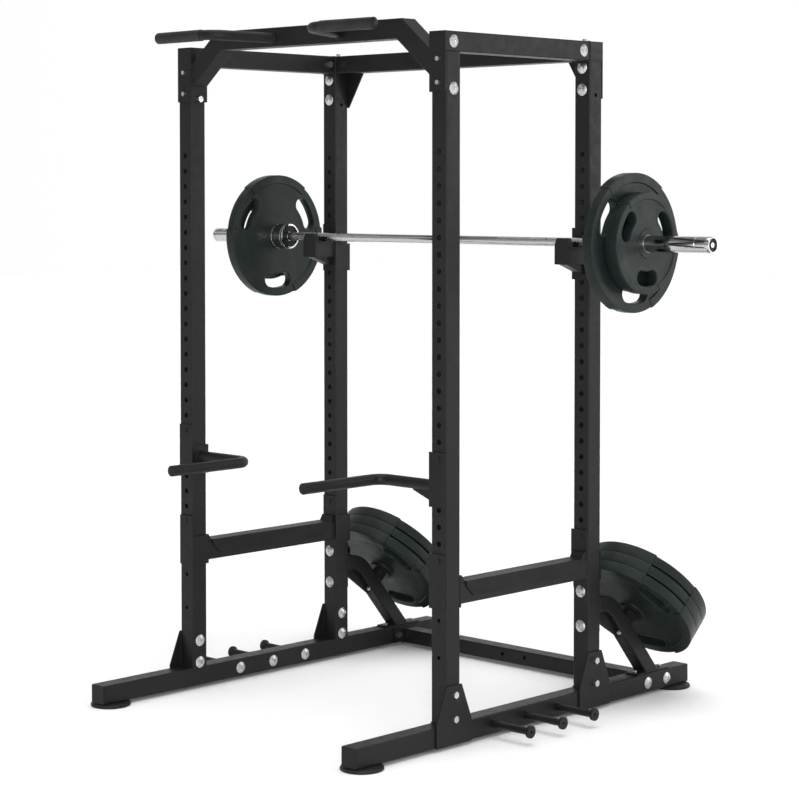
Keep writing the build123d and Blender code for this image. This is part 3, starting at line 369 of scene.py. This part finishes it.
def plate_mesh(name, R, T, middle, half_width, half_turn):
    """A tri-grip plate with a dished web, a crisp rim that steps down at each grip, and rounded edges."""
    half = T / 2
    half_turn = math.radians(half_turn)
    rim_in = R - 0.14 * R
    soft = 0.0024
    radii = [0.0256, 0.0275, 0.0278, 0.0340, 0.0400, 0.0436, 0.0446, 0.0462, 0.0474, 0.0500]
    steps = int((rim_in - 0.004 - 0.052) / 0.0032)
    radii += [0.052 + (rim_in - 0.004 - 0.052) * i / steps for i in range(steps + 1)]
    radii += [rim_in - 0.0015, rim_in - 0.0008, rim_in + 0.0022, rim_in + 0.0030]
    radii += [rim_in + 0.0030 + (R - soft - rim_in - 0.0030) * i / 5 for i in range(1, 6)]
    radii += [R - soft * (1 - math.sin(math.radians(a))) for a in (22, 45, 68, 90)]
    grips = [math.radians(a) for a in GRIP_TURNS]
    columns = []
    for a in range(0, 360, 2):
        off = min((abs((a - g + 180) % 360 - 180), (a - g + 180) % 360 - 180) for g in GRIP_TURNS)
        if off[0] == 22:
            way = math.copysign(1, off[1])
            columns += sorted((a + way * 0.2, a + way * 0.62))
        else:
            columns.append(a)
    cols = len(columns)

    def local(x, y):
        """Distance from the nearest grip opening."""
        best = 1.0
        for g in grips:
            c, s = math.cos(-g), math.sin(-g)
            best = min(best, kidney(c * x - s * y, s * x + c * y, middle, half_width, half_turn))
        return best

    def slope(x, y):
        h = 1e-5
        gx = (local(x + h, y) - local(x - h, y)) / (2 * h)
        gy = (local(x, y + h) - local(x, y - h)) / (2 * h)
        size = max(math.hypot(gx, gy), 1e-3)
        return gx / size, gy / size

    def recess(theta):
        """1 inside the three recessed stretches of the rim, 0 elsewhere."""
        off = min(abs((theta - g + pi) % (2 * pi) - pi) for g in grips)
        return 1.0 if math.degrees(off) < RIM_TURN - 0.1 else 0.0

    def height(r, theta, d, drop):
        if r < 0.02765:
            return half - 0.0012
        if r < 0.0475:
            return half - 0.004 * ease((r - 0.0444) / 0.0022)
        z = half - 0.004 - 0.0012 * ease((r - 0.0474) / 0.03) * (1 - ease((r - rim_in + 0.03) / 0.03))
        low = drop * recess(theta)
        rim = min(1.0, max(0.0, (r - rim_in + 0.0008) / 0.0030))
        z += (half - z) * rim * (1 - low)
        if r > R - soft:
            part = (r - R + soft) / soft
            z -= soft * (1 - math.sqrt(max(0.0, 1 - part * part)))
        if r < rim_in and d < 0.012:
            z += 0.0009 * math.exp(-(((d - 0.0050) / 0.0030) ** 2))
        return z

    flat = [[r * math.cos(math.radians(a)), r * math.sin(math.radians(a))] for r in radii for a in columns]
    keep = []
    for i in range(len(radii) - 1):
        for j in range(cols):
            k = (j + 1) % cols
            quad = (i * cols + j, i * cols + k, (i + 1) * cols + k, (i + 1) * cols + j)
            cx = sum(flat[q][0] for q in quad) / 4
            cy = sum(flat[q][1] for q in quad) / 4
            if local(cx, cy) > 0.0008:
                keep.append(quad)
    edges = {}
    for q in keep:
        for a, b in zip(q, q[1:] + q[:1]):
            edges[(a, b)] = edges.get((a, b), 0) + 1
    border = [(a, b) for (a, b) in edges if (b, a) not in edges]
    outer = (len(radii) - 1) * cols
    around = [e for e in border if e[0] >= outer or (e[0] < cols and e[1] < cols)]
    plain = set(around)
    openings = [e for e in border if e not in plain]
    rounded = sorted({v for e in openings for v in e})
    for v in rounded:
        x, y = flat[v]
        for _ in range(5):
            d = local(x, y) - 0.0022
            gx, gy = slope(x, y)
            x, y = x - d * gx, y - d * gy
        flat[v] = [x, y]
    # the back face steps down further at the grips than the front face does
    layers, ring = [], {}
    for drop in (0.55, 1.0):
        layer = []
        for x, y in flat:
            r, theta = math.hypot(x, y), math.atan2(y, x)
            z = height(r, theta, local(x, y), drop)
            pull = 1 - 0.0028 * recess(theta) * ease((r - (R - 0.012)) / 0.006) / max(r, 1e-6)
            layer.append((x * pull, y * pull, z))
        # two more rings of points round over the edge of each opening
        for v in rounded:
            x, y, z = layer[v]
            gx, gy = slope(x, y)
            ring[v] = (len(layer), len(layer) + 1)
            layer.append((x - 0.0016 * gx, y - 0.0016 * gy, z - 0.0006))
            layer.append((x - 0.0022 * gx, y - 0.0022 * gy, z - 0.0022))
        layers.append(layer)
    n = len(layers[0])
    everything = layers[0] + [(x, y, -z) for x, y, z in layers[1]]
    faces = list(keep)
    for a, b in openings:
        faces.append((b, a, ring[a][0], ring[b][0]))
        faces.append((ring[b][0], ring[a][0], ring[a][1], ring[b][1]))
    faces += [tuple(n + v for v in reversed(q)) for q in faces]
    for a, b in around:
        faces.append((b, a, n + a, n + b))
    for a, b in openings:
        a, b = ring[a][1], ring[b][1]
        faces.append((b, a, n + a, n + b))
    mesh = bpy.data.meshes.new(name)
    mesh.from_pydata(everything, [], faces)
    mesh.materials.append(PLATE)
    used = {v for f in faces for v in f}
    loose = [i for i in range(len(everything)) if i not in used]
    bm = bmesh.new()
    bm.from_mesh(mesh)
    bm.verts.ensure_lookup_table()
    bmesh.ops.delete(bm, geom=[bm.verts[i] for i in loose], context="VERTS")
    bmesh.ops.recalc_face_normals(bm, faces=bm.faces)
    bm.to_mesh(mesh)
    bm.free()
    mesh.shade_smooth()
    mesh.set_sharp_from_angle(angle=math.radians(50))
    return mesh


def ring_mesh(name, T):
    """The turned steel insert that lines a plate's bore."""
    h = T / 2
    bore, wall, edge = 0.0254, 0.0275, 0.0270
    profile = [
        (-h, bore), (-h, edge), (-h + 0.0005, wall), (h - 0.0005, wall), (h, edge), (h, bore),
        (h - 0.0006, bore), (-h + 0.0006, bore), (-h, bore),
    ]
    v, f = lathe(profile, (0, 0, 0), (0, 0, 1), 72)
    mesh = bpy.data.meshes.new(name)
    mesh.from_pydata([tuple(p) for p in v], [], f)
    mesh.materials.append(STEEL)
    mesh.shade_smooth()
    mesh.set_sharp_from_angle(angle=math.radians(35))
    return mesh


LARGE = plate_mesh("large_plate", 0.215, LARGE_THICK, 0.158, 0.025, 13.0)
SMALL = plate_mesh("small_plate", 0.156, SMALL_THICK, 0.107, 0.0225, 14.0)
RING_LARGE = ring_mesh("large_insert", LARGE_THICK)
RING_SMALL = ring_mesh("small_insert", SMALL_THICK)

# size, meshes, where the plate's inner face is along the bar, and its thickness
ON_BAR = (
    ("large", LARGE, RING_LARGE, 0.7763, LARGE_THICK),
    ("small", SMALL, RING_SMALL, 0.8146, SMALL_THICK),
)
for side, sign in SIDES:
    for size, mesh, ring, inner, thick in ON_BAR:
        m = frame_at((sign * (inner + thick / 2), BAR_Y, BAR_Z), (sign, 0, 0), (0, sign, 0))
        body = f"{size}_bar_plate_{side}"
        place(f"{size}_plate_{side}", mesh, body, (f"bar_plate_{size}_{side}",), m)
        place(f"{size}_plate_insert_{side}", ring, body, (), m)

# stored plates: UP runs along a horn, DOWN along its strut and BACK out of the strut's face
HORN_TILT, STRUT_TILT = math.radians(47), math.radians(50)
STACK_START, STACK_PITCH = 0.0409, 0.0383
UP = Vector((0, math.sin(HORN_TILT), math.cos(HORN_TILT)))
BACK = Vector((0, math.sin(STRUT_TILT), math.cos(STRUT_TILT)))
DOWN = Vector((0, math.cos(STRUT_TILT), -math.sin(STRUT_TILT)))
knee = Vector((0, 0.592 - 0.253 / math.tan(STRUT_TILT), 0.330))
horn_foot = knee + BACK * 0.025 + DOWN * 0.1243
for side, sign in SIDES:
    for n, where in enumerate(("inner", "middle", "outer")):
        along = STACK_START + 0.019 + n * STACK_PITCH
        at = horn_foot + UP * along + Vector((sign * UPRIGHT_X, 0, 0))
        m = frame_at(at, UP, (-1, 0, 0))
        body = f"{where}_stored_plate_{side}"
        place(f"stored_{where}_{side}", LARGE, body, (f"stored_plate_{where}_{side}",), m)
        place(f"stored_insert_{where}_{side}", RING_LARGE, body, (), m)

# ------------------------------------------------------------------ barbell sleeves
# (distance from the bar's middle, radius), in millimetres
SLEEVE = [
    (716.3, 12.6), (716.3, 14.2), (716.8, 14.8), (723.0, 15.0), (723.0, 37.2), (717.2, 38.0), (716.3, 38.8),
    (716.3, 42.6), (716.8, 43.6), (718.2, 44), (723, 44), (723.5, 43.3), (725.5, 43.3), (726, 44),
    (766, 44), (766.5, 43.3), (768.5, 43.3), (769, 44), (773.6, 44), (775.4, 42.8), (776, 41), (776, 27.5),
    (776.4, 25.4), (777.5, 25), (861.6, 25), (861.75, 24.7), (862.45, 24.7), (862.6, 25),
    (1046, 25), (1046.5, 24.6), (1048, 24.6), (1048.5, 25),
    (1084, 25), (1084.4, 24.6), (1085.6, 24.6), (1086, 25),
    (1097.2, 25), (1099, 24.3), (1100, 22.8), (1100, 21.2), (1099.2, 20.4), (1093.6, 20.2), (1093.6, 8.2),
    (1097.6, 8.0), (1098.4, 7.2), (1098.4, 3.2), (1096.4, 3.0), (1096.4, 0),
]
# the same, in metres
END_COVER = [
    (1.0936, 0.0200), (1.0950, 0.0198), (1.0956, 0.0190), (1.0956, 0.0150),
    (1.0948, 0.0146), (1.0948, 0.0084), (1.0936, 0.0082),
]
SEAL = [
    (0.7230, 0.0370), (0.7216, 0.0366), (0.7212, 0.0350),
    (0.7212, 0.0166), (0.7218, 0.0158), (0.7230, 0.0153),
]
for side, sign in SIDES:
    profile = [(a / 1000, r / 1000) for a, r in SLEEVE]
    body, replaced = f"sleeve_{side}", (f"barbell_sleeve_{side}",)
    v, f = lathe(profile, (0, BAR_Y, BAR_Z), (sign, 0, 0), 96)
    piece(f"sleeve_turned_{side}", v, f, CHROME, body, replaced, 30)
    v, f = join([lathe(ring, (0, BAR_Y, BAR_Z), (sign, 0, 0), 72) for ring in (END_COVER, SEAL)])
    piece(f"sleeve_covers_{side}", v, f, CAP, body, (), 30)

# ------------------------------------------------------------------ rubber feet
FOOT_Y = 0.7265
# (height, radius) in metres
foot = [
    (0.0, 0.0), (0.0, 0.0605), (0.0008, 0.0625), (0.0024, 0.0635), (0.0050, 0.0635),
    (0.0056, 0.0628), (0.0066, 0.0628), (0.0072, 0.0634), (0.0092, 0.0622), (0.0102, 0.0600),
    (0.0104, 0.0520), (0.0114, 0.0500), (0.0119, 0.0470), (0.0119, 0.0),
]
feet = [lathe(foot, (s * UPRIGHT_X, e * FOOT_Y, 0), (0, 0, 1), 96) for s in (-1, 1) for e in (-1, 1)]
v, f = join(feet)
piece("rubber_feet", v, f, FOOT, "frame", ("floor_feet",), 38)

# ------------------------------------------------------------------ pull-up grips
HANDLE_Z = 2.124
BEND_X, TIP_X, GRIP_X = 0.212, 0.477, 0.264  # bend and tip of a handle, and where its grip starts
RIB = 0.0045  # from one rib to the next
for side, sign in SIDES:
    bend, tip = Vector((sign * BEND_X, -0.597, HANDLE_Z)), Vector((sign * TIP_X, -0.588, HANDLE_Z))
    along = tip - bend
    start = bend + along * ((GRIP_X - BEND_X) / 0.265)
    length = (tip - start).length
    profile = [(0, 0.0161), (0, 0.0172), (0.0008, 0.0179), (0.006, 0.0180)]
    count = int((length - 0.016) / RIB)
    for i in range(count):
        a = 0.008 + i * RIB
        profile += [(a, 0.0180), (a + 0.0030, 0.0180), (a + 0.0034, 0.01762), (a + 0.0041, 0.01762)]
    profile += [(length - 0.006, 0.0180), (length - 0.0008, 0.0179), (length, 0.0172), (length, 0.0161)]
    v, f = lathe(profile, start, along, 64)
    piece(f"ribbed_grip_{side}", v, f, GRIP, "frame", (f"pull_up_grip_{side}",), 30)


# ------------------------------------------------------------------ weld beads
def bead(points, closed=True, radius=0.0023):
    """A rippled weld bead along straight runs between points."""
    around = 7
    parts = []
    points = [Vector(p) for p in points]
    if closed:
        points.append(points[0])
    for a, b in zip(points, points[1:]):
        length = (b - a).length
        rings = max(3, int(length / 0.0019))
        m = frame_at(a, b - a)
        verts, faces = [], []
        for i in range(rings + 1):
            r = radius * (1 + 0.16 * math.sin(i * 2.1) + 0.06 * math.sin(i * 0.7))
            for k in range(around):
                t = 2 * pi * k / around
                verts.append(m @ Vector((r * math.cos(t), r * math.sin(t), length * i / rings)))
        for i in range(rings):
            near, far = i * around, (i + 1) * around
            for k in range(around):
                j = (k + 1) % around
                faces.append((near + k, near + j, far + j, far + k))
        faces += [tuple(reversed(range(around))), tuple(range(rings * around, (rings + 1) * around))]
        parts.append((verts, faces))
    return join(parts)


def loop(axis, at, a, b):
    """The four corners of a rectangle square to an axis; a and b are its ranges."""
    pairs = ((a[0], b[0]), (a[1], b[0]), (a[1], b[1]), (a[0], b[1]))
    order = {"x": lambda p: (at, *p), "y": lambda p: (p[0], at, p[1]), "z": lambda p: (*p, at)}[axis]
    return [order(p) for p in pairs]


def circle(origin, axis, radius, count=28):
    """Points of a circle about an axis."""
    m = frame_at(origin, axis)
    turns = [2 * pi * i / count for i in range(count)]
    return [m @ Vector((radius * math.cos(t), radius * math.sin(t), 0)) for t in turns]


beads = []
for side, sign in SIDES:
    x = sign * UPRIGHT_X
    cross = (x - HALF_TUBE, x + HALF_TUBE)
    strut = (x - 0.025, x + 0.025)
    # the foot of each upright and the two edges of its gusset
    for y in (FRONT_Y, REAR_Y):
        beads.append(bead(loop("z", RAIL_WELD_Z, cross, (y - HALF_TUBE, y + HALF_TUBE))))
        edge = sign * 0.5955
        for s in (-1, 1):
            near, far = y + s * 0.0305, y + s * 0.0755
            beads.append(bead([(edge, near, 0.188), (edge, near, 0.073)], False, 0.0018))
            beads.append(bead([(edge, near, RAIL_WELD_Z), (edge, far, RAIL_WELD_Z)], False, 0.0018))
    # pull-up bracket, rear crossmember, both ends of the strut, horn, pull-up handle, top side beam
    beads.append(bead(loop("x", sign * 0.530, (-0.406, -0.346), (1.9775, 2.0555))))
    beads.append(bead(loop("x", sign * 0.530, (0.5835, 0.6435), (0.012, 0.062))))
    beads.append(bead(loop("z", 0.0772, strut, (0.5594, 0.6246))))
    beads.append(bead(loop("y", 0.3182, strut, (0.305, 0.355))))
    beads.append(bead(circle(horn_foot + Vector((x, 0, 0)), BACK, 0.0249)))
    beads.append(bead(circle((sign * 0.150, -0.4062, 2.1192), (sign * 0.15, -1, 0), 0.0166)))
    beads.append(bead(loop("y", 0.2530, cross, (2.047, 2.107)), radius=0.0016))
v, f = join(beads)
piece("frame_welds", v, f, WELD, "frame", (), 60)

BOX_HALF = 0.0268  # half the width of the welded face of a safety bar or hook
for side, sign in SIDES:
    face = sign * 0.5297
    v, f = join([bead(circle((face, FRONT_Y, 0.771), (sign, 0, 0), 0.0173))])
    piece(f"dip_weld_{side}", v, f, WELD, f"dip_handle_{side}", (), 60)
    x = sign * UPRIGHT_X
    box = (x - BOX_HALF, x + BOX_HALF)
    v, f = join([bead(loop("y", y, box, (0.4222, 0.4828)), radius=0.0020) for y in (-0.3405, 0.2475)])
    piece(f"safety_weld_{side}", v, f, WELD, f"safety_bar_{side}", (), 60)
hooks = []
for side, sign in SIDES:
    x = sign * UPRIGHT_X
    box = (x - BOX_HALF, x + BOX_HALF)
    hooks.append(bead(loop("y", 0.2475, box, (1.4122, 1.4565)), radius=0.0020))
    hooks.append(bead(loop("y", 0.1642, box, (1.4132, 1.4565)), radius=0.0018))
v, f = join(hooks)
piece("hook_welds", v, f, WELD, "bar_hooks", (), 60)

# ------------------------------------------------------------------ height marks on the uprights
MARK_HALF, MARK_PROUD = (0.011, 0.0016), 0.00015
marks = []
for side, sign in SIDES:
    x = sign * UPRIGHT_X
    for y in (-0.406, 0.253):
        for group in range(5):
            z = 1.480 - 0.25 * group
            across, up = (x - MARK_HALF[0], x + MARK_HALF[0]), (z - MARK_HALF[1], z + MARK_HALF[1])
            marks.append(cuboid(across, (y - MARK_PROUD, y), up))
v, f = join(marks)
piece("height_marks", v, f, CAP, "frame", (), 30)

# ------------------------------------------------------------------ floor, world, lights and camera
bpy.ops.mesh.primitive_plane_add(size=60, location=(0, 0, 0))
ground = bpy.context.object
ground.name = "studio_floor"
ground.data.materials.append(floor_paint())

# the studio: bright walls with two darker bands, a bright ceiling and one duller corner
world = bpy.data.worlds.new("studio")
bpy.context.scene.world = world
world.use_nodes = True
t = world.node_tree
back = t.nodes["Background"]
coord = t.nodes.new("ShaderNodeTexCoord")
split = t.nodes.new("ShaderNodeSeparateXYZ")
ramp = t.nodes.new("ShaderNodeValToRGB")
t.links.new(coord.outputs["Generated"], split.inputs[0])
t.links.new(split.outputs["Z"], ramp.inputs[0])
stops = ramp.color_ramp.elements
# (upward part of the direction looked in, brightness)
LEVELS = (
    (0.0, 1.0), (0.17, 1.0), (0.20, 0.28), (0.27, 0.28), (0.31, 1.3),
    (0.49, 1.3), (0.57, 0.42), (0.82, 0.42), (0.89, 2.6), (1.0, 2.6),
)
stops[0].position, stops[1].position = LEVELS[0][0], LEVELS[-1][0]
for position, value in LEVELS[1:-1]:
    stops.new(position)
for stop, (position, value) in zip(stops, LEVELS):
    stop.color = (value, value, value, 1)
toward = t.nodes.new("ShaderNodeVectorMath")
toward.operation = "DOT_PRODUCT"
toward.inputs[1].default_value = (-0.707, -0.707, 0)
t.links.new(coord.outputs["Generated"], toward.inputs[0])
corner = t.nodes.new("ShaderNodeMapRange")
corner.interpolation_type = "SMOOTHSTEP"
for key, value in (("From Min", 0.1), ("From Max", 0.95), ("To Min", 1.0), ("To Max", 0.5)):
    corner.inputs[key].default_value = value
t.links.new(toward.outputs["Value"], corner.inputs["Value"])
shade = t.nodes.new("ShaderNodeVectorMath")
shade.operation = "SCALE"
t.links.new(ramp.outputs[0], shade.inputs[0])
t.links.new(corner.outputs["Result"], shade.inputs["Scale"])
t.links.new(shade.outputs[0], back.inputs["Color"])
back.inputs["Strength"].default_value = 1.0


def lamp(name, at, target, size, power):
    """A white rectangular area lamp aimed at a point."""
    data = bpy.data.lights.new(name, "AREA")
    data.shape = "RECTANGLE"
    data.size, data.size_y = size
    data.energy = power
    obj = bpy.data.objects.new(name, data)
    bpy.context.collection.objects.link(obj)
    obj.location = at
    obj.rotation_mode = "QUATERNION"
    obj.rotation_quaternion = (Vector(target) - Vector(at)).to_track_quat("-Z", "Y")


lamp("right_box", (4.2, 4.4, 2.2), (0, 0, 1.1), (2.4, 2.4), 40)
lamp("key", (4.2, -4.4, 4.6), (0, 0, 1.0), (1.2, 1.2), 30)
lamp("behind_camera", (5.7, -5.9, 1.7), (0, 0, 1.2), (1.2, 3.0), 260)

cam = bpy.data.cameras.new("camera")
camera = bpy.data.objects.new("camera", cam)
bpy.context.collection.objects.link(camera)
PITCH, TURN = 2.13, 43.796  # degrees, solved from the frame's edges in the photo
camera.location = (4.9318, -5.1269, 1.6434)
camera.rotation_euler = (math.radians(90 - PITCH), 0, math.radians(TURN))
cam.sensor_width = 36.0
cam.lens = 99.13
cam.shift_y = -0.16
cam.clip_end = 200
bpy.context.scene.camera = camera
bpy.context.scene.view_settings.view_transform = "Standard"
